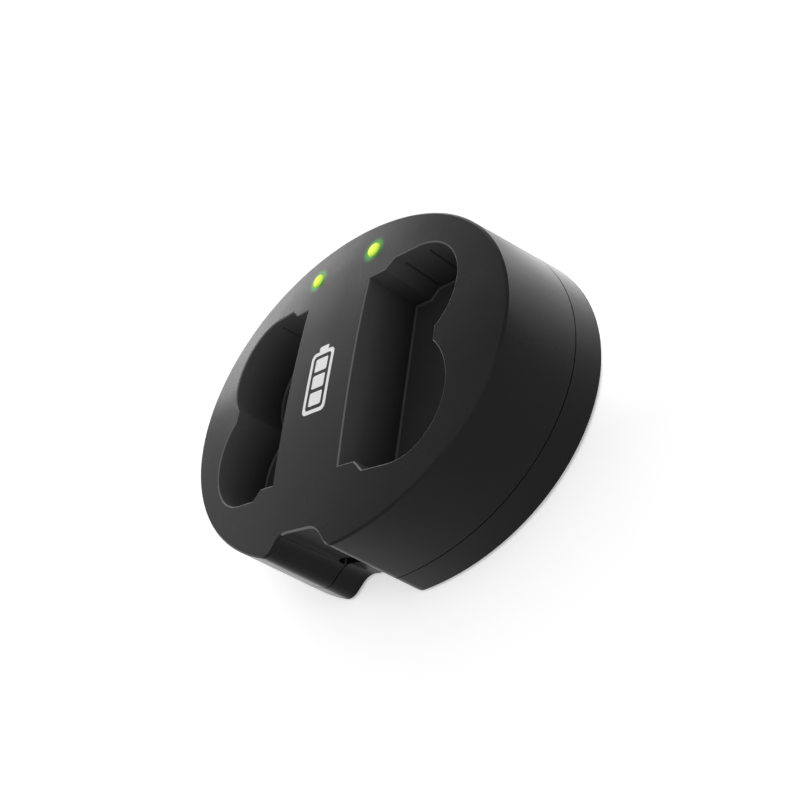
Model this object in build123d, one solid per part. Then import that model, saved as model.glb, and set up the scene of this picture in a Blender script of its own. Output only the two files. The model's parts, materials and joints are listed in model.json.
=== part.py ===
from build123d import *
import os
from math import cos, pi, radians, sin, sqrt, tan

# Desktop charger for two camera battery packs, in millimetres.
# The origin is on the table under the middle of the body, +X points to the right bay,
# +Y to the status lights and +Z up. Front is the side with the cable notch, -Y.

# Body
body_length = 87.2          # long axis of the base ellipse
body_width = 67.3           # short axis of the base ellipse
body_height = 21.6          # underside of the cover to the top of the crown
part_height = 5.75          # underside of the cover to the parting plane
wall_draft = 6.3            # inward lean of the side wall, degrees
crown_rise = 2.0            # top of the crown above the ellipse edge
wall = 1.8                  # side wall and top wall
cover_floor = 1.6           # floor of the bottom cover
rim_edge = 0.3              # broken edge along the rim
base_edge = 0.2             # broken edge along the base
seam_height = 0.2           # shadow gap at the parting plane
lip_height = 1.4            # locating lip of the cover, which carries the housing
lip_thickness = 0.8
lip_clearance = 0.1

# Cable notch in the front wall
notch_depth = 6.35          # base ellipse to the back of the notch at rim height
notch_width = 9.6           # back of the notch, corner to corner
notch_flank = 50.0          # angle of the flanks, degrees
notch_draft = 4.0           # outward lean of the notch wall, degrees
notch_inner_round = 4.0
notch_outer_round = 3.0

# Battery bays
bar_width = 18.0            # bar between the two bays
bay_length = 39.6
shoulder_length = 36.0      # shorter length of the bay beside the bar
shoulder_width = 3.9
step_width = 2.0            # slanted step from the shoulder to the full length
lobe_reach = 21.9           # bar side of the bay to the far side of the lobes
lobe_radius = 10.75
ridge_width = 2.5           # flat top of the ridge between the lobes
bay_wall = 1.6
bay_floor = 1.6
bay_edge = 0.2              # broken edge of the opening
floor_edge = 0.3            # slope around the bay floor
grip_width = 5.6            # springy wall panel between two slits
slit_width = 0.5
slit_top = 3.2              # crown top to the upper end of the slits
slit_foot = 1.2             # bay floor to the lower end of the slits

# Circuit board and power socket
board_thickness = 1.6
board_sides = 24            # straight sides around the board
board_clearance = 0.5       # board edge to the wall around it
board_hole_clearance = 0.2  # around the screws, on the radius
socket_width = 7.5
socket_height = 2.3
socket_depth = 5.6
socket_sheet = 0.25
socket_bevel = 0.8          # slanted upper corners of the shell
socket_recess = 0.8         # outer face of the notch to the mouth of the socket
port_width = 9.0            # window in the wall around the socket
port_height = 2.5
port_rise = 1.05            # middle of the window above the parting plane
port_round = 1.1
tongue_width = 4.6
tongue_thickness = 0.7
tongue_back = 1.2           # solid rear wall of the tongue moulding
tongue_recess = 0.6         # mouth of the socket to the tip of the tongue

# Battery contacts
contact_reach = 13.9        # bar side of the bay to the row of blades
contact_pitch = 6.0
blade_width = 2.6
blade_thickness = 0.6
blade_rise = 2.4            # tip above the bay floor
blade_bevel = 0.2
blade_corner = 0.5
blade_fit = 0.05
block_height = 1.85         # contact block between the board and the bay floor
block_flange = 1.4          # rim of the block under the floor
nose_side = 1.0             # block material beside a blade
nose_end = 1.5
nose_clearance = 0.15

# Status lights
light_spacing = 16.5
pipe_diameter = 3.0
pipe_fit = 0.05
guide_size = 4.4            # square bar of the light pipe below its round tip
sleeve_wall = 1.1
sleeve_length = 3.0         # sleeve below the top wall
led_length = 2.0
led_width = 1.25
led_height = 0.8
led_gap = 0.3               # air between the chip and its light pipe

# Charging circuit
channel_spacing = 8.4       # between the two charging circuits
controller_size = 4.0
controller_height = 0.9
controller_row = -8.0
inductor_size = 5.0
inductor_height = 2.8
inductor_bevel = 1.2
inductor_row = 0.0
capacitor_length = 3.2
capacitor_width = 2.5
capacitor_height = 1.8
capacitor_row = 7.5

# Fastening and feet
screw_end = 8.0             # end of the body to a screw, along X
screw_diameter = 2.2
screw_fit = 0.02
screw_grip = 8.0            # screw length inside the boss
screw_room = 1.0            # hole beyond the tip of the screw
head_diameter = 4.0
head_height = 1.3
head_clearance = 0.3
head_seat = 2.0             # underside of the cover to the seat of the head
boss_size = 5.0             # square screw boss of the housing
post_size = 6.4             # square post of the cover under the board
foot_end_x = 15.25          # end of the body to the middle of a foot
foot_end_y = 16.3           # side of the body to the middle of a foot
foot_size = 8.0
foot_corner = 2.0           # cut corners of a foot
foot_thickness = 1.2
foot_proud = 0.5
foot_clearance = 0.1

# Levels
z_cover = foot_proud
z_cover_floor = z_cover + cover_floor
z_part = z_cover + part_height
z_top = z_cover + body_height
z_rim = z_top - crown_rise
z_port = z_part + port_rise
z_board_top = z_port - socket_height / 2
z_board = z_board_top - board_thickness
z_block_top = z_board_top + block_height
z_floor = z_block_top + bay_floor
z_sleeve = z_rim - wall - sleeve_length
z_head_seat = z_cover + head_seat
overshoot = 4.0             # how far a cutting shape runs past the body

sides = {"left": -1, "right": 1}
ends = {"front": -1, "back": 1}


# Shape of the case

def half_axes(z, inset):
    lean = (z - z_cover) * tan(radians(wall_draft))
    return body_length / 2 - lean - inset, body_width / 2 - lean - inset


def notch_y(z):
    return notch_depth - body_width / 2 - (z_rim - z) * tan(radians(notch_draft))


def notch_plan(z, inset):
    # cable notch at one height, open to the front
    back = notch_y(z) + inset
    half = notch_width / 2 + inset * tan(radians(notch_flank / 2))
    flare = half + body_width / tan(radians(notch_flank))
    front = back - body_width
    return Polygon((-half, back), (half, back), (flare, front), (-flare, front), align=None)


def section(z, inset):
    # plan of the case at one height
    return Pos(0, 0, z) * (Ellipse(*half_axes(z, inset)) - notch_plan(z, inset))


def outer_section(z, inset):
    # the same plan with the rounded notch corners of the outer face
    plan = section(z, inset)
    back = notch_y(z) + inset
    back_corners = [v for v in plan.vertices() if abs(v.Y - back) < notch_inner_round / 100]
    plan = fillet(back_corners, notch_inner_round + inset)
    outer_corners = plan.vertices().sort_by(Axis.Y)[:2]
    return fillet(outer_corners, notch_outer_round - inset)


def case_body(inset):
    return loft([section(z_cover, inset), section(z_top + overshoot, inset)], ruled=True)


def crown(drop):
    # block whose top face is the arched top of the body, one quadratic patch
    half_x = body_length / 2 + overshoot
    half_y = body_width / 2 + overshoot
    fall_x = crown_rise * (2 * half_x / body_length) ** 2
    fall_y = crown_rise * (2 * half_y / body_width) ** 2
    ends_x = (-half_x, -fall_x), (0, fall_x), (half_x, -fall_x)
    ends_y = (-half_y, -fall_y), (0, fall_y), (half_y, -fall_y)
    top = z_top - drop
    net = [[(x, y, top + up_x + up_y) for y, up_y in ends_y] for x, up_x in ends_x]
    return extrude(Face.make_bezier_surface(net), body_height + overshoot, dir=(0, 0, -1))


def slab(z0, z1):
    size = body_length + body_width
    return Pos(0, 0, z0) * Box(size, size, z1 - z0, align=(Align.CENTER, Align.CENTER, Align.MIN))


def post(x, y, diameter, z0, z1):
    base = Align.CENTER, Align.CENTER, Align.MIN
    return Pos(x, y, z0) * Cylinder(diameter / 2, z1 - z0, align=base)


def block(x, y, size_x, size_y, z0, z1):
    base = Align.CENTER, Align.CENTER, Align.MIN
    return Pos(x, y, z0) * Box(size_x, size_y, z1 - z0, align=base)


def pad(x, y, size, z0, z1):
    square = block(x, y, size, size, z0, z1)
    return chamfer(square.edges().filter_by(Axis.Z), foot_corner)


# Places

bay_x = bar_width / 2
step_start = bay_x + shoulder_width
step_end = step_start + step_width
lobe_x = bay_x + lobe_reach - lobe_radius
lobe_y = bay_length / 2 - lobe_radius
ridge_x = lobe_x + sqrt(lobe_radius ** 2 - (lobe_y - ridge_width / 2) ** 2)
contact_x = bay_x + contact_reach
contact_rows = {"negative": -contact_pitch, "sense": 0.0, "positive": contact_pitch}
nose_width = blade_width + 2 * nose_side
nose_length = 2 * contact_pitch + blade_thickness + 2 * nose_end
light_x = light_spacing / 2
bay_back = shoulder_length / 2 + bay_wall
case_back = half_axes(z_rim, wall)[1]
light_row = (bay_back + case_back) / 2      # midway between the bay wall and the case wall
channel_x = channel_spacing / 2
screw_places = {side: (sx * (body_length / 2 - screw_end), 0) for side, sx in sides.items()}
foot_places = {
    f"{end}_{side}": (sx * (body_length / 2 - foot_end_x), sy * (body_width / 2 - foot_end_y))
    for end, sy in ends.items()
    for side, sx in sides.items()
}
mouth_y = notch_y(z_port) + socket_recess
socket_y = mouth_y + socket_depth


def bay_plan(inset=0.0):
    # right bay: stepped on the bar side, two cell lobes with a ridge on the far side
    half = bay_length / 2 - inset
    shoulder = shoulder_length / 2 - inset
    slant = step_width / (half - shoulder)
    shift = inset * (sqrt(1 + slant ** 2) - slant)
    start = step_start + shift
    end = step_end + shift
    bar = bay_x + inset
    radius = lobe_radius - inset
    lobe_far = lobe_x + radius
    far = ridge_x - inset
    ridge = lobe_y - sqrt(radius ** 2 - (far - lobe_x) ** 2)
    outline = [
        Line((bar, -shoulder), (bar, shoulder)),
        Polyline((bar, shoulder), (start, shoulder), (end, half), (lobe_x, half)),
        ThreePointArc((lobe_x, half), (lobe_far, lobe_y), (far, ridge)),
        Line((far, ridge), (far, -ridge)),
        ThreePointArc((far, -ridge), (lobe_far, -lobe_y), (lobe_x, -half)),
        Polyline((lobe_x, -half), (end, -half), (start, -shoulder), (bar, -shoulder)),
    ]
    return make_face(Curve() + outline)


def both_sides(right):
    return right + mirror(right, Plane.YZ)


def port_window():
    # window through the back wall of the notch
    reach = wall + lip_clearance + overshoot
    plan = Plane.XZ * RectangleRounded(port_width, port_height, port_round)
    return Pos(0, notch_y(z_port) - overshoot, z_port) * extrude(plan, -(reach + overshoot))


# Case mouldings

heights = z_cover + base_edge, (z_part + z_top) / 2, z_top + overshoot
levels = [outer_section(z_cover, base_edge), *[outer_section(z, 0) for z in heights]]
outer = loft(levels, ruled=True) & crown(0)
outer = chamfer(outer.faces().sort_by(Axis.Z)[-1].edges(), rim_edge)
hollow = case_body(wall)
lip_outer = case_body(wall - lip_thickness)
lip_seat = case_body(wall - lip_thickness - lip_clearance)


def make_upper_housing():
    foot = Pos(0, 0, z_floor) * bay_plan(floor_edge)
    rim = Pos(0, 0, z_floor + floor_edge) * bay_plan()
    bays = both_sides(loft([foot, rim], ruled=True) + extrude(rim, z_top))
    shell = outer & slab(z_part + seam_height, z_top)
    shell -= bays
    mouths = shell.faces().sort_by(Axis.Z)[-1].inner_wires()
    shell = chamfer([e for mouth in mouths for e in mouth.edges()], bay_edge)

    cavity = hollow & crown(wall) & slab(z_part, z_top)
    cavity += lip_seat & slab(z_part, z_part + lip_height)
    cavity -= both_sides(Pos(0, 0, z_block_top) * extrude(bay_plan(-bay_wall), z_top))
    sleeve = pipe_diameter + 2 * (pipe_fit + sleeve_wall)
    for sx in sides.values():
        cavity -= block(sx * light_x, light_row, sleeve, sleeve, z_sleeve, z_top)
    shell -= cavity
    shell -= port_window()
    for x, y in screw_places.values():
        shell += block(x, y, boss_size, boss_size, z_board_top, z_top) & crown(wall / 2)
        hole_end = z_board_top + screw_grip + screw_room
        shell -= post(x, y, screw_diameter + 2 * screw_fit, z_part - overshoot, hole_end)
    slit_xs = [step_end + slit_width, step_end + 2 * slit_width + grip_width]
    for sx in sides.values():
        hole = pipe_diameter + 2 * pipe_fit
        shell -= post(sx * light_x, light_row, hole, z_sleeve - overshoot, z_top + overshoot)
        window = nose_width + 2 * nose_clearance, nose_length + 2 * nose_clearance
        shell -= block(sx * contact_x, 0, *window, z_block_top - bay_floor, z_floor + bay_floor)
        for sy in ends.values():
            for x in slit_xs:
                y = sy * (bay_length / 2 + bay_wall / 2)
                shell -= block(sx * x, y, slit_width, 2 * bay_wall, z_floor + slit_foot, z_top - slit_top)
    return shell


def make_bottom_cover():
    cover = outer & slab(0, z_part)
    cover -= hollow & slab(z_cover_floor, z_part)
    cover += (lip_outer - hollow) & slab(z_part, z_part + lip_height)
    for x, y in screw_places.values():
        cover += block(x, y, post_size, post_size, z_cover_floor, z_board)
    cover -= port_window()
    for x, y in screw_places.values():
        cover -= post(x, y, screw_diameter + 2 * board_hole_clearance, z_cover - overshoot, z_part)
        cover -= post(x, y, head_diameter + 2 * head_clearance, z_cover - overshoot, z_head_seat)
    for x, y in foot_places.values():
        recess = z_cover + foot_thickness - foot_proud
        cover -= pad(x, y, foot_size + 2 * foot_clearance, z_cover - overshoot, recess)
    return cover


# Circuit

def make_circuit_board():
    # plate with straight sides on the oval of the case
    inset = wall + board_clearance
    a, b = half_axes(z_board_top, inset)
    turns = [2 * pi * i / board_sides for i in range(board_sides)]
    plan = Polygon(*[(a * cos(t), b * sin(t)) for t in turns], align=None)
    plan -= notch_plan(z_board_top, inset)
    board = Pos(0, 0, z_board_top) * extrude(plan, -board_thickness)
    for x, y in screw_places.values():
        hole = screw_diameter + 2 * board_hole_clearance
        board -= post(x, y, hole, z_board - overshoot, z_board_top + overshoot)
    return board


def socket_plan(inset):
    # lower edge full width, upper corners slanted
    half = socket_width / 2 - inset
    low = -socket_height / 2 + inset
    high = socket_height / 2 - inset
    cut = socket_bevel - inset * (2 - sqrt(2))
    right = (half, low), (half, high - cut), (half - cut, high)
    left = (cut - half, high), (-half, high - cut), (-half, low)
    return Polygon(*right, *left, align=None)


def make_socket_shell():
    # folded sheet sleeve, open at the mouth and closed behind by the tongue moulding
    front = Plane((0, mouth_y, z_port), x_dir=(1, 0, 0), z_dir=(0, -1, 0))
    sleeve = extrude(front * (socket_plan(0) - socket_plan(socket_sheet)), -socket_depth)
    return sleeve


def make_socket_tongue():
    back = Plane((0, socket_y, z_port), x_dir=(1, 0, 0), z_dir=(0, -1, 0))
    rear = extrude(back * socket_plan(socket_sheet), tongue_back)
    length = socket_depth - tongue_back - tongue_recess
    tongue = block(
        0, mouth_y + tongue_recess + length / 2, tongue_width, length,
        z_port - tongue_thickness / 2, z_port + tongue_thickness / 2,
    )
    return rear + tongue


def make_contact_block(sx):
    x = sx * contact_x
    rim = nose_width + 2 * block_flange, nose_length + 2 * block_flange
    carrier = block(x, 0, *rim, z_board_top, z_block_top)
    carrier += block(x, 0, nose_width, nose_length, z_block_top, z_floor)
    for row in contact_rows.values():
        slot = blade_width + 2 * blade_fit, blade_thickness + 2 * blade_fit
        carrier -= block(x, row, *slot, z_board_top - overshoot, z_floor + overshoot)
    return carrier


def make_blade(sx, row):
    # knife contact with cut corners and a bevelled tip
    tip = z_floor + blade_rise
    blade = block(sx * contact_x, row, blade_width, blade_thickness, z_board_top, tip)
    corners = blade.edges().filter_by(Axis.Y).group_by(Axis.Z)[-1]
    blade = chamfer(corners, blade_corner)
    tip_edges = blade.edges().filter_by(Axis.X).group_by(Axis.Z)[-1]
    return chamfer(tip_edges, blade_bevel)


def make_light_pipe(sx):
    x = sx * light_x
    z_end = z_board_top + led_height + led_gap
    tip = post(x, light_row, pipe_diameter, z_sleeve, z_top + overshoot) & crown(0)
    return tip + block(x, light_row, guide_size, guide_size, z_end, z_sleeve)


def make_chip(x, y, length, width, height, corner=0.0):
    chip = block(x, y, length, width, z_board_top, z_board_top + height)
    if corner:
        chip = chamfer(chip.edges().filter_by(Axis.Z), corner)
    return chip


# Fastening

def make_screw(x, y):
    head = post(x, y, head_diameter, z_head_seat - head_height, z_head_seat)
    return head + post(x, y, screw_diameter, z_head_seat, z_board_top + screw_grip)


def make_foot(x, y):
    return pad(x, y, foot_size, 0, foot_thickness)


nodes = {
    "upper_housing": make_upper_housing(),
    "bottom_cover": make_bottom_cover(),
    "circuit_board": make_circuit_board(),
    "power_socket_shell": make_socket_shell(),
    "power_socket_tongue": make_socket_tongue(),
}
for side, sx in sides.items():
    nodes[f"{side}_contact_block"] = make_contact_block(sx)
    for name, row in contact_rows.items():
        nodes[f"{side}_{name}_contact"] = make_blade(sx, row)
    nodes[f"{side}_light_pipe"] = make_light_pipe(sx)
    x = sx * channel_x
    nodes[f"{side}_led"] = make_chip(sx * light_x, light_row, led_length, led_width, led_height)
    nodes[f"{side}_charge_controller"] = make_chip(
        x, controller_row, controller_size, controller_size, controller_height
    )
    nodes[f"{side}_inductor"] = make_chip(
        x, inductor_row, inductor_size, inductor_size, inductor_height, inductor_bevel
    )
    nodes[f"{side}_capacitor"] = make_chip(
        x, capacitor_row, capacitor_length, capacitor_width, capacitor_height
    )
for place, (x, y) in screw_places.items():
    nodes[f"{place}_screw"] = make_screw(x, y)
for place, (x, y) in foot_places.items():
    nodes[f"{place}_foot"] = make_foot(x, y)

os.makedirs("parts", exist_ok=True)
for name, shape in nodes.items():
    export_step(shape, f"parts/{name}.step")
    print(f"{name}: {len(shape.solids())} solid, {shape.volume:.1f} mm3")
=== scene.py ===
import bmesh
import bpy
import json
import math
from mathutils import Matrix, Vector
from mathutils.bvhtree import BVHTree


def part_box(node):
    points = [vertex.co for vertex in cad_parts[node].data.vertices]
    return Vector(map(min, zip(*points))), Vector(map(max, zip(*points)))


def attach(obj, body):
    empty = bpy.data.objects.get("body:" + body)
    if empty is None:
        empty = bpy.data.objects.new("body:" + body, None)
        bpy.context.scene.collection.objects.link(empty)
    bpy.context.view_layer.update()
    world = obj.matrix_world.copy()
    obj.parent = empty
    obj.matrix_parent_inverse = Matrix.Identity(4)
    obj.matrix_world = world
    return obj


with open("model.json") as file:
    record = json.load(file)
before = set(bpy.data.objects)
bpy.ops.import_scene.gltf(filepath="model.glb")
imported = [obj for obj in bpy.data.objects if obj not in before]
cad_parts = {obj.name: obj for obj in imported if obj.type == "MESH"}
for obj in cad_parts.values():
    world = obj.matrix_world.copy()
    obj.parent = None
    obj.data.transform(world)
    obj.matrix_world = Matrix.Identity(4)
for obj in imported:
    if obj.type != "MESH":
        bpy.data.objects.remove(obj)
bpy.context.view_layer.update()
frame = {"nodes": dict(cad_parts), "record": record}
cad = frame["nodes"]
mm = 0.001
scene = bpy.context.scene
scene.view_settings.view_transform = "Standard"
print("frame loaded:", len(cad), "CAD nodes")


# shading of the CAD nodes: joined patches, sharp edges kept
shading = {"weld": 0.002 * mm, "sharpAngle": 32, "edgeSamples": 6}


def smoothNode(node):
    node.data.polygons.foreach_set("use_smooth", [True] * len(node.data.polygons))
    weld = node.modifiers.new("weld", "WELD")
    weld.merge_threshold = shading["weld"]
    split = node.modifiers.new("split", "EDGE_SPLIT")
    split.split_angle = math.radians(shading["sharpAngle"])
    split.use_edge_sharp = False
    normals = node.modifiers.new("normals", "WEIGHTED_NORMAL")
    normals.keep_sharp = True


# node tree helpers
class Shader:
    def __init__(self, name):
        self.material = bpy.data.materials.new(name)
        self.material.use_nodes = True
        self.tree = self.material.node_tree
        self.surface = self.tree.nodes["Principled BSDF"]

    def add(self, kind, **settings):
        node = self.tree.nodes.new(kind)
        for key, value in settings.items():
            setattr(node, key, value)
        return node

    def join(self, source, target):
        self.tree.links.new(source, target)

    def feed(self, source, socket):
        self.join(source, self.surface.inputs[socket])

    def set(self, **sockets):
        for key, value in sockets.items():
            self.surface.inputs[key.replace("_", " ")].default_value = value

    def coords(self):
        return self.add("ShaderNodeTexCoord").outputs["Object"]

    def split(self, vector):
        node = self.add("ShaderNodeSeparateXYZ")
        self.join(vector, node.inputs["Vector"])
        return node.outputs

    def calc(self, operation, *values):
        # each value is a socket or a plain number
        node = self.add("ShaderNodeMath", operation=operation)
        for value, target in zip(values, node.inputs):
            if isinstance(value, bpy.types.NodeSocket):
                self.join(value, target)
            else:
                target.default_value = value
        return node.outputs["Value"]

    def noise(self, vector, scale, detail=3, stretch=None):
        if stretch:
            mapping = self.add("ShaderNodeMapping")
            mapping.inputs["Scale"].default_value = stretch
            self.join(vector, mapping.inputs["Vector"])
            vector = mapping.outputs["Vector"]
        node = self.add("ShaderNodeTexNoise")
        node.inputs["Scale"].default_value = scale
        node.inputs["Detail"].default_value = detail
        self.join(vector, node.inputs["Vector"])
        return node.outputs["Fac"]

    def spread(self, value, low, high, start=0.3, end=0.7):
        node = self.add("ShaderNodeMapRange")
        node.inputs["From Min"].default_value = start
        node.inputs["From Max"].default_value = end
        node.inputs["To Min"].default_value = low
        node.inputs["To Max"].default_value = high
        self.join(value, node.inputs["Value"])
        return node.outputs["Result"]

    def blend(self, value, colorA, colorB, start=0.3, end=0.7):
        ramp = self.add("ShaderNodeValToRGB")
        ramp.color_ramp.elements[0].position = start
        ramp.color_ramp.elements[1].position = end
        ramp.color_ramp.elements[0].color = (*colorA, 1)
        ramp.color_ramp.elements[1].color = (*colorB, 1)
        self.join(value, ramp.inputs["Fac"])
        return ramp.outputs["Color"]

    def bump(self, height, strength, distance, rounding=0):
        # rounding softens the light on sharp edges
        node = self.add("ShaderNodeBump")
        node.inputs["Strength"].default_value = strength
        node.inputs["Distance"].default_value = distance
        self.join(height, node.inputs["Height"])
        if rounding:
            edge = self.add("ShaderNodeBevel", samples=shading["edgeSamples"])
            edge.inputs["Radius"].default_value = rounding
            self.join(edge.outputs["Normal"], node.inputs["Normal"])
        self.feed(node.outputs["Normal"], "Normal")


# status lights: lit lenses, and a green glow painted as emission on the housing's top
lightLook = {
    "radius": 1.5 * mm,
    "core": (0.88, 0.98, 0.10),
    "edge": (0.36, 0.64, 0.06),
    "strength": 0.95,
    "coreRadius": 0.72,         # share of the lens radius
    "tint": [(0.02, 0.05, 0.005), (0.03, 0.07, 0.008)],
    "tintScale": 800,
    "rough": 0.5,
    "gloss": 0.05,
    "glow": (0.03, 0.42, 0.005),
    "glowStrength": 0.9,
    "glowReach": 2.0,           # lens radii
    "glowFall": 1.6,
    "glowDepth": 2.5 * mm,      # no glow further below the crown
}
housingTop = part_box("upper_housing")[1].z
lensBox = {side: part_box(f"{side}_light_pipe") for side in ("left", "right")}
lensPlaces = [(low + high) / 2 for low, high in lensBox.values()]


def distanceToLights(shader, place):
    # plan distance to the nearer status light, in lens radii
    parts = shader.split(place)
    flat = shader.add("ShaderNodeCombineXYZ")
    shader.join(shader.calc("ABSOLUTE", parts["X"]), flat.inputs["X"])
    shader.join(parts["Y"], flat.inputs["Y"])
    middle = lensPlaces[1]
    away = shader.add("ShaderNodeVectorMath", operation="DISTANCE")
    shader.join(flat.outputs["Vector"], away.inputs[0])
    away.inputs[1].default_value = (abs(middle.x), middle.y, 0)
    return shader.calc("DIVIDE", away.outputs["Value"], lightLook["radius"])


def addPaintedGlow(shader, place):
    # painted glow: the housing's top emits green around the status lights
    near = shader.spread(distanceToLights(shader, place), 1, 0, 1.0, lightLook["glowReach"])
    soft = shader.calc("POWER", near, lightLook["glowFall"])
    onTop = shader.calc("GREATER_THAN", shader.split(place)["Z"], housingTop - lightLook["glowDepth"])
    glow = shader.calc("MULTIPLY", soft, onTop)
    shader.feed(shader.calc("MULTIPLY", glow, lightLook["glowStrength"]), "Emission Strength")
    shader.set(Emission_Color=(*lightLook["glow"], 1))


def makeLens(name):
    shader = Shader(name)
    place = shader.coords()
    share = distanceToLights(shader, place)
    color = shader.blend(share, lightLook["core"], lightLook["edge"], lightLook["coreRadius"], 1.0)
    shader.feed(color, "Emission Color")
    tint = shader.blend(shader.noise(place, lightLook["tintScale"]), *lightLook["tint"])
    shader.feed(tint, "Base Color")
    shader.set(Emission_Strength=lightLook["strength"])
    shader.set(Roughness=lightLook["rough"], Specular_IOR_Level=lightLook["gloss"])
    return shader.material


# black moulded plastic: satin wall and top, duller bays and notch; the top is painted lighter than the
# wall, the bays and broken edges carry painted shade towards the bay floor, and the broken edges a painted
# highlight
bayPlan = {
    "bar": 8.7 * mm,            # half the bar between the bays
    "reach": 31.3 * mm,         # outer side of a bay
    "half": 20.1 * mm,          # half its length
    "slit": 1.6 * mm,           # how far the spring slits run past it
    "floor": 9.5 * mm,
    "mouth": 19.0 * mm,
    "lip": 0.3 * mm,            # faces nearer the crown than this count as top
}
plasticLook = {
    "satin": {
        "tones": [(0.0045, 0.0045, 0.0048), (0.0075, 0.0075, 0.0079)],
        "rough": (0.20, 0.26),
        "gloss": 0.12,
    },
    "top": {
        # painted light: the top's tones are lighter than the wall's plastic
        "tones": [(0.0120, 0.0120, 0.0124), (0.0155, 0.0155, 0.016)],
        "rough": (0.23, 0.29),
        "gloss": 0.12,
    },
    "bay": {
        "tones": [(0.019, 0.019, 0.020), (0.086, 0.086, 0.088)],    # painted shade: darker at the floor than at the mouth
        "rough": (0.42, 0.5),
        "gloss": 0.2,
    },
    "edge": {
        "tones": [(0.036, 0.036, 0.037), (0.14, 0.14, 0.143)],      # painted highlight, paler than the bays, with painted shade: darker at the floor than at the mouth
        "rough": (0.45, 0.55),
        "gloss": 0.15,
    },
    "notch": {
        "tones": [(0.009, 0.009, 0.0094), (0.012, 0.012, 0.0125)],
        "rough": (0.32, 0.38),
        "gloss": 0.05,
    },
    "cloudScale": 60,
    "shadeClimb": (0.25, 0.65),      # painted shade: tone share at the bay floor and at the mouth
    "climbCloud": 0.1,
    "grainScale": 3600,
    "grainDepth": 0.012 * mm,
    "grainStrength": 0.04,
    "edgeRound": 0.12 * mm,
}


def paintShadeInBay(shader, place, cloud):
    # painted shade: paler from the bay floor up to the mouth, with a little cloudiness
    height = shader.split(place)["Z"]
    shadeClimb = shader.spread(height, *plasticLook["shadeClimb"], bayPlan["floor"], bayPlan["mouth"])
    return shader.calc("MULTIPLY_ADD", cloud, plasticLook["climbCloud"], shadeClimb)


def makePlastic(name, kind):
    look = plasticLook[kind]
    shader = Shader(name)
    place = shader.coords()
    cloud = shader.noise(place, plasticLook["cloudScale"], detail=4)
    grain = shader.noise(place, plasticLook["grainScale"], detail=2)
    # painted shade: bays and broken edges darker towards the bay floor
    tone = paintShadeInBay(shader, place, cloud) if kind in ("bay", "edge") else cloud
    shader.feed(shader.blend(tone, *look["tones"]), "Base Color")
    shader.feed(shader.spread(cloud, *look["rough"]), "Roughness")
    shader.bump(grain, plasticLook["grainStrength"], plasticLook["grainDepth"], plasticLook["edgeRound"])
    shader.set(Specular_IOR_Level=look["gloss"])
    if kind == "top":
        addPaintedGlow(shader, place)
    return shader.material


# finishes of the small parts: two tones, roughness range, size of the mottling, metal or not
finishes = {
    "board": {
        "tones": [(0.012, 0.085, 0.04), (0.02, 0.13, 0.06)], "rough": (0.3, 0.42), "scale": 500,
    },
    "socket_steel": {
        "tones": [(0.55, 0.55, 0.56), (0.7, 0.7, 0.71)], "rough": (0.25, 0.4), "scale": 900, "metal": 1,
    },
    "socket_plastic": {
        "tones": [(0.014, 0.014, 0.014), (0.024, 0.024, 0.024)], "rough": (0.45, 0.55), "scale": 900,
    },
    "contact_block": {
        "tones": [(0.014, 0.014, 0.015), (0.024, 0.024, 0.025)], "rough": (0.42, 0.52), "scale": 900,
    },
    "contact_metal": {
        "tones": [(0.75, 0.53, 0.22), (0.87, 0.67, 0.33)], "rough": (0.22, 0.34), "scale": 1400, "metal": 1,
    },
    "led_chip": {
        "tones": [(0.8, 0.82, 0.72), (0.88, 0.88, 0.82)], "rough": (0.4, 0.5), "scale": 2000,
    },
    "chip_package": {
        "tones": [(0.022, 0.022, 0.024), (0.036, 0.036, 0.038)], "rough": (0.5, 0.6), "scale": 1500,
    },
    "inductor_core": {
        "tones": [(0.09, 0.09, 0.095), (0.15, 0.15, 0.155)], "rough": (0.6, 0.7), "scale": 1200,
    },
    "capacitor_body": {
        "tones": [(0.4, 0.3, 0.19), (0.5, 0.38, 0.25)], "rough": (0.45, 0.55), "scale": 1500,
    },
    "screw_steel": {
        "tones": [(0.42, 0.42, 0.43), (0.56, 0.56, 0.57)], "rough": (0.28, 0.4), "scale": 900, "metal": 1,
    },
    "foot_rubber": {
        "tones": [(0.012, 0.012, 0.012), (0.02, 0.02, 0.02)], "rough": (0.75, 0.85), "scale": 1200,
    },
}
mottling = {"metalStretch": (1, 1, 0.15), "strength": 0.2, "depth": 0.01 * mm}


def makeFinish(slot):
    look = finishes[slot]
    shader = Shader(slot)
    stretch = mottling["metalStretch"] if look.get("metal") else None
    cloud = shader.noise(shader.coords(), look["scale"], stretch=stretch)
    shader.feed(shader.blend(cloud, *look["tones"]), "Base Color")
    shader.feed(shader.spread(cloud, *look["rough"]), "Roughness")
    shader.set(Metallic=look.get("metal", 0))
    shader.bump(cloud, mottling["strength"], mottling["depth"])
    return shader.material


materials = {slot: makeFinish(slot) for slot in finishes}
materials["housing_plastic"] = makePlastic("housing_plastic", "satin")
materials["cover_plastic"] = makePlastic("cover_plastic", "satin")
materials["light_pipe"] = makeLens("light_pipe")
slotOf = {row["node"]: row["material_slot"] for row in frame["record"]["subparts"]}
for name, node in cad.items():
    node.data.materials.clear()
    node.data.materials.append(materials[slotOf[name]])
    smoothNode(node)
print("finishes:", len(materials), "materials on", len(cad), "nodes")


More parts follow.
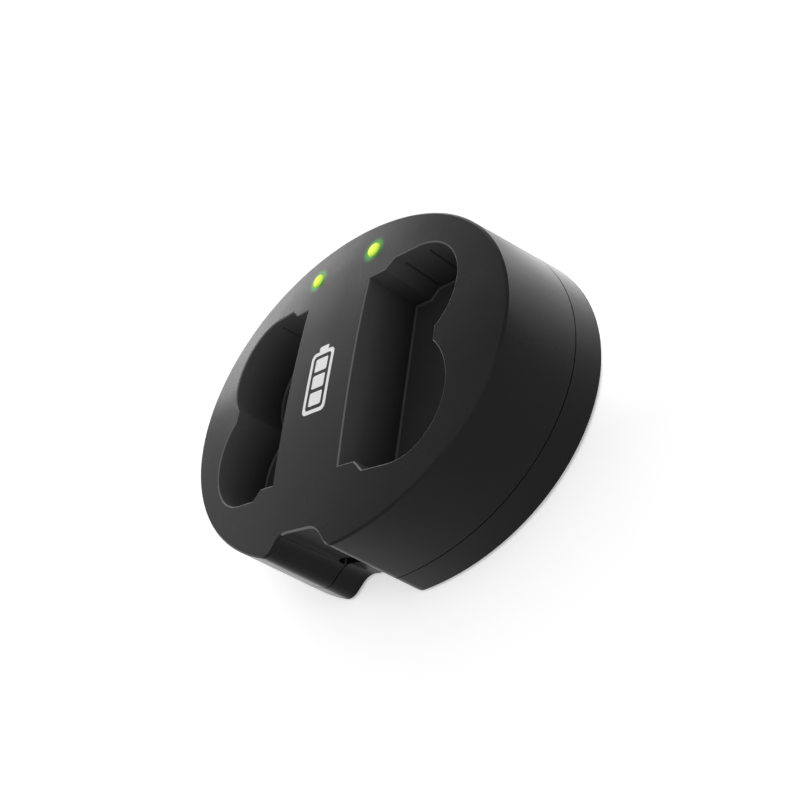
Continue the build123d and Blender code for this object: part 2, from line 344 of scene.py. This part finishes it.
# the housing's top, bays, broken edges and notch have finishes of their own, after the wall's; their tones
# carry painted light and shade
housingPlan = {
    "kinds": ("satin", "top", "bay", "edge", "notch"),
    "rise": 2.0 * mm,                       # of the crown
    "half": (43.6 * mm, 33.65 * mm),        # half the oval at the end of the crown
    "notchSides": (-4.5 * mm, 8.0 * mm),
    "notchFront": -24.0 * mm,
    "notchBack": -0.8,                      # forward part of the back wall's normal
    "slitSide": 0.9,                        # sideways part of a slit side's normal
    "edgeLean": (0.3, 0.93),                # upward part of a broken edge's normal
}


def crownHeight(x, y):
    share = (x / housingPlan["half"][0]) ** 2 + (y / housingPlan["half"][1]) ** 2
    return housingTop - housingPlan["rise"] * share


def finishAndPaintedLightOf(face):
    x, y, z = face.center
    lean = face.normal
    flat, steep = housingPlan["edgeLean"]
    left, right = housingPlan["notchSides"]
    besideBar = bayPlan["bar"] < abs(x) < bayPlan["reach"]
    inBay = besideBar and abs(y) < bayPlan["half"]
    inSlit = besideBar and bayPlan["half"] < abs(y) < bayPlan["half"] + bayPlan["slit"]
    inNotch = left < x < right and y < housingPlan["notchFront"]
    if (inBay or inNotch) and flat < lean.z < steep:
        return "edge"
    if inSlit and abs(lean.x) > housingPlan["slitSide"]:
        return "edge"
    if inNotch and lean.y < housingPlan["notchBack"]:
        return "notch"
    if inBay and crownHeight(x, y) - z > bayPlan["lip"] and z > bayPlan["floor"]:
        return "bay"
    return "top" if lean.z > flat else "satin"


def finishHousingAndPaintLight():
    data = cad["upper_housing"].data
    kinds = housingPlan["kinds"]
    for kind in kinds[1:]:
        data.materials.append(makePlastic(kind + "_plastic", kind))
    for face in data.polygons:
        face.material_index = kinds.index(finishAndPaintedLightOf(face))
    print("housing:", len(data.polygons), "faces in", len(kinds), "finishes")


finishHousingAndPaintLight()


# low domes on the status lights, which stand a little above the crowned top
domePlan = {"radius": 1.46 * mm, "rise": 0.55 * mm, "sunk": 0.1 * mm, "rings": 10, "sides": 48}


def makeDome(side, middle):
    mesh = bmesh.new()
    sides = domePlan["sides"]
    rings = []
    for ring in range(-1, domePlan["rings"]):       # the first ring lies below the top
        tilt = math.pi / 2 * max(ring, 0) / domePlan["rings"]
        rise = domePlan["rise"] * math.sin(tilt) if ring >= 0 else -domePlan["sunk"]
        verts = []
        for step in range(sides):
            angle = 2 * math.pi * step / sides
            x = middle.x + domePlan["radius"] * math.cos(tilt) * math.cos(angle)
            y = middle.y + domePlan["radius"] * math.cos(tilt) * math.sin(angle)
            verts.append(mesh.verts.new((x, y, crownHeight(x, y) + rise)))
        rings.append(verts)
    for low, high in zip(rings, rings[1:]):
        for i in range(sides):
            j = (i + 1) % sides
            mesh.faces.new((low[i], low[j], high[j], high[i]))
    tip = mesh.verts.new((middle.x, middle.y, crownHeight(middle.x, middle.y) + domePlan["rise"]))
    for i in range(sides):
        mesh.faces.new((rings[-1][i], rings[-1][(i + 1) % sides], tip))
    mesh.faces.new(list(reversed(rings[0])))
    for face in mesh.faces:
        face.smooth = len(face.verts) < sides       # all but the flat underside
    data = bpy.data.meshes.new(side + "LightDome")
    mesh.to_mesh(data)
    mesh.free()
    dome = bpy.data.objects.new(side + "_light_dome", data)
    scene.collection.objects.link(dome)
    data.materials.append(materials["light_pipe"])
    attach(dome, "root")


for side, middle in zip(lensBox, lensPlaces):
    makeDome(side, middle)
print("domes set on the status lights")


# printed battery sign on the bar between the bays
sign = {
    "length": 13.4 * mm,
    "width": 6.4 * mm,
    "line": 0.75 * mm,
    "corner": 1.1 * mm,
    "terminal": (1.0 * mm, 2.6 * mm),   # length, width
    "terminalCorner": 0.3 * mm,
    "bars": 3,
    "barGap": 0.75 * mm,
    "barCorner": 0.35 * mm,
    "grid": 0.3 * mm,
    "proud": 0.02 * mm,
    "dropFrom": 0.1,                    # well above the housing
    "ink": [(0.74, 0.74, 0.75), (0.84, 0.84, 0.85)],
    "inkScale": 2500,
    "inkRough": 0.55,
}


def roundedRing(halfX, halfY, radius, shift=0, steps=8):
    points = []
    for cornerX, cornerY, start in ((1, 1, 0), (-1, 1, 90), (-1, -1, 180), (1, -1, 270)):
        for step in range(steps + 1):
            angle = math.radians(start + 90 * step / steps)
            x = cornerX * (halfX - radius) + radius * math.cos(angle)
            y = cornerY * (halfY - radius) + radius * math.sin(angle)
            points.append((x, y + shift))
    return points


def addPatch(mesh, outer, inner=None):
    # flat patch of the sign, with a hole where an inner ring is given
    rings = [[mesh.verts.new((x, y, 0)) for x, y in ring] for ring in (outer, inner) if ring]
    if len(rings) == 1:
        mesh.faces.new(rings[0])
        return
    count = len(rings[0])
    for i in range(count):
        j = (i + 1) % count
        mesh.faces.new((rings[0][i], rings[0][j], rings[1][j], rings[1][i]))


def drawSign(mesh):
    line, gap, bars = sign["line"], sign["barGap"], sign["bars"]
    tip, tipWidth = sign["terminal"]
    halfX, halfY = sign["width"] / 2, (sign["length"] - tip) / 2
    outer = roundedRing(halfX, halfY, sign["corner"])
    inner = roundedRing(halfX - line, halfY - line, sign["corner"] - line / 2)
    addPatch(mesh, outer, inner)
    barLength = (2 * (halfY - line) - gap * (bars + 1)) / bars
    for bar in range(bars):
        y = -halfY + line + gap * (bar + 1) + barLength * (bar + 0.5)
        addPatch(mesh, roundedRing(halfX - line - gap, barLength / 2, sign["barCorner"], y))
    addPatch(mesh, roundedRing(tipWidth / 2, tip / 2, sign["terminalCorner"], halfY + tip / 2))
    bmesh.ops.translate(mesh, vec=(0, -tip / 2, 0), verts=mesh.verts)


def layOnTop(mesh):
    # cut fine enough to follow the crown, dropped on it and given its thickness
    bmesh.ops.triangulate(mesh, faces=mesh.faces)
    while True:
        longEdges = [edge for edge in mesh.edges if edge.calc_length() > 2 * sign["grid"]]
        if not longEdges:
            break
        bmesh.ops.subdivide_edges(mesh, edges=longEdges, cuts=1)
        bmesh.ops.triangulate(mesh, faces=mesh.faces)
    data = cad["upper_housing"].data
    corners = [vert.co for vert in data.vertices]
    tree = BVHTree.FromPolygons(corners, [face.vertices[:] for face in data.polygons])
    for vert in mesh.verts:
        start = Vector((vert.co.x, vert.co.y, sign["dropFrom"]))
        hit = tree.ray_cast(start, Vector((0, 0, -1)))[0]
        vert.co.z = hit.z + sign["proud"]
    bottom = bmesh.ops.extrude_face_region(mesh, geom=mesh.faces[:])
    low = [item for item in bottom["geom"] if isinstance(item, bmesh.types.BMVert)]
    bmesh.ops.translate(mesh, vec=(0, 0, -2 * sign["proud"]), verts=low)
    bmesh.ops.recalc_face_normals(mesh, faces=mesh.faces)


def makeSign():
    mesh = bmesh.new()
    drawSign(mesh)
    layOnTop(mesh)
    data = bpy.data.meshes.new("batterySign")
    mesh.to_mesh(data)
    mesh.free()
    piece = bpy.data.objects.new("battery_sign", data)
    scene.collection.objects.link(piece)
    shader = Shader("sign_ink")
    cloud = shader.noise(shader.coords(), sign["inkScale"])
    shader.feed(shader.blend(cloud, *sign["ink"]), "Base Color")
    shader.set(Roughness=sign["inkRough"])
    data.materials.append(shader.material)
    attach(piece, "root")


makeSign()
print("battery sign laid on the bar")


# white floor that keeps the shadow
floorLook = {
    "size": 12.0,
    "tones": [(0.86, 0.86, 0.86), (0.88, 0.88, 0.88)],
    "cloudScale": 3,
    "rough": 0.9,
    "lift": (0.36, 0.62),       # added white, near and far
    "fade": (0.5, 2.5),         # where near ends and far begins
}


def makeFloor():
    bpy.ops.mesh.primitive_plane_add(size=floorLook["size"])
    floor = bpy.context.object
    floor.name = "floor"
    shader = Shader("floor_white")
    place = shader.coords()
    cloud = shader.noise(place, floorLook["cloudScale"], detail=2)
    shader.feed(shader.blend(cloud, *floorLook["tones"]), "Base Color")
    path = shader.add("ShaderNodeLightPath").outputs
    seen = shader.calc("MAXIMUM", path["Is Camera Ray"], path["Is Glossy Ray"])
    seen = shader.calc("MAXIMUM", seen, path["Is Transmission Ray"])
    away = shader.add("ShaderNodeVectorMath", operation="LENGTH")
    shader.join(place, away.inputs[0])
    level = shader.spread(away.outputs["Value"], *floorLook["lift"], *floorLook["fade"])
    shader.feed(shader.calc("MULTIPLY", seen, level), "Emission Strength")
    shader.set(Emission_Color=(1, 1, 1, 1), Roughness=floorLook["rough"], Specular_IOR_Level=0.0)
    floor.data.materials.append(shader.material)


makeFloor()


# soft studio light: surroundings, two softboxes behind, one overhead and a spot on the floor
lightPlan = {
    "surround": {"horizon": 1.0, "above": 0.5, "fade": (8, 13)},    # fade in degrees above the horizon
    "low": {"level": 5.0, "size": (3.76, 0.8), "azimuth": 126.5, "height": 0.66, "distance": 3.5},
    "upper": {"level": 0.66, "size": (4.6, 1.4), "azimuth": 163, "height": 2.18, "distance": 3.5},
    "high": {"level": 1.6, "size": (0.6, 0.6), "azimuth": -25, "height": 0.75, "distance": 0.2},
    "softboxAim": (0, 0, 0.02),
    "pool": {
        "watts": 20.0,
        "aim": (0.054, 0.031, 0.0),
        "from": (0.25, 0.25, 0.354),
        "angle": 7,
        "blend": 1.0,
        "bulb": 0.008,
    },
}


def makeWorld():
    plan = lightPlan["surround"]
    world = bpy.data.worlds.new("surround")
    scene.world = world
    world.use_nodes = True
    tree = world.node_tree
    back = tree.nodes["Background"]
    place = tree.nodes.new("ShaderNodeTexCoord")
    split = tree.nodes.new("ShaderNodeSeparateXYZ")
    tree.links.new(place.outputs["Generated"], split.inputs["Vector"])
    low, high = (math.sin(math.radians(angle)) for angle in plan["fade"])
    level = tree.nodes.new("ShaderNodeMapRange")
    level.inputs["From Min"].default_value = low
    level.inputs["From Max"].default_value = high
    level.inputs["To Min"].default_value = plan["horizon"]
    level.inputs["To Max"].default_value = plan["above"]
    tree.links.new(split.outputs["Z"], level.inputs["Value"])
    tree.links.new(level.outputs["Result"], back.inputs["Strength"])
    back.inputs["Color"].default_value = (1, 1, 1, 1)


def aimAlong(piece, direction):
    piece.rotation_euler = direction.to_track_quat("-Z", "Y").to_euler()


def makeSoftbox(name):
    plan = lightPlan[name]
    width, height = plan["size"]
    lamp = bpy.data.lights.new(name + "_softbox", "AREA")
    lamp.shape = "RECTANGLE"
    lamp.size = width
    lamp.size_y = height
    lamp.energy = plan["level"] * math.pi * width * height      # level is the brightness of its face
    box = bpy.data.objects.new(name + "_softbox", lamp)
    scene.collection.objects.link(box)
    angle = math.radians(plan["azimuth"])
    away = plan["distance"]
    box.location = (away * math.cos(angle), away * math.sin(angle), plan["height"])
    aimAlong(box, Vector(lightPlan["softboxAim"]) - box.location)


def makeFloorSpot():
    # pool of light on the floor beside the right end, which the wall reflects
    plan = lightPlan["pool"]
    lamp = bpy.data.lights.new("floor_spot", "SPOT")
    lamp.energy = plan["watts"]
    lamp.spot_size = math.radians(plan["angle"])
    lamp.spot_blend = plan["blend"]
    lamp.shadow_soft_size = plan["bulb"]
    spot = bpy.data.objects.new("floor_spot", lamp)
    scene.collection.objects.link(spot)
    spot.location = Vector(plan["aim"]) + Vector(plan["from"])
    aimAlong(spot, -Vector(plan["from"]))


makeWorld()
for name in ("low", "upper", "high"):
    makeSoftbox(name)
makeFloorSpot()
print("floor and lights placed")


# camera at the photograph's angle
cameraPlan = {
    "place": (0.10845, -0.06425, 0.09260),
    "look": (-0.6942, 0.4362, -0.5726),
    "up": (0.2454, 0.8912, 0.3814),
    "lens": 37.0,
    "sensor": 36,
    "nearest": 0.005,
}


def makeCamera():
    lens = bpy.data.cameras.new("camera")
    lens.lens = cameraPlan["lens"]
    lens.sensor_width = cameraPlan["sensor"]
    lens.clip_start = cameraPlan["nearest"]
    camera = bpy.data.objects.new("camera", lens)
    scene.collection.objects.link(camera)
    back = -Vector(cameraPlan["look"]).normalized()
    right = Vector(cameraPlan["up"]).cross(back).normalized()
    up = back.cross(right)
    turn = Matrix((right, up, back)).transposed().to_4x4()
    camera.matrix_world = Matrix.Translation(cameraPlan["place"]) @ turn
    scene.camera = camera


makeCamera()
print("camera placed")
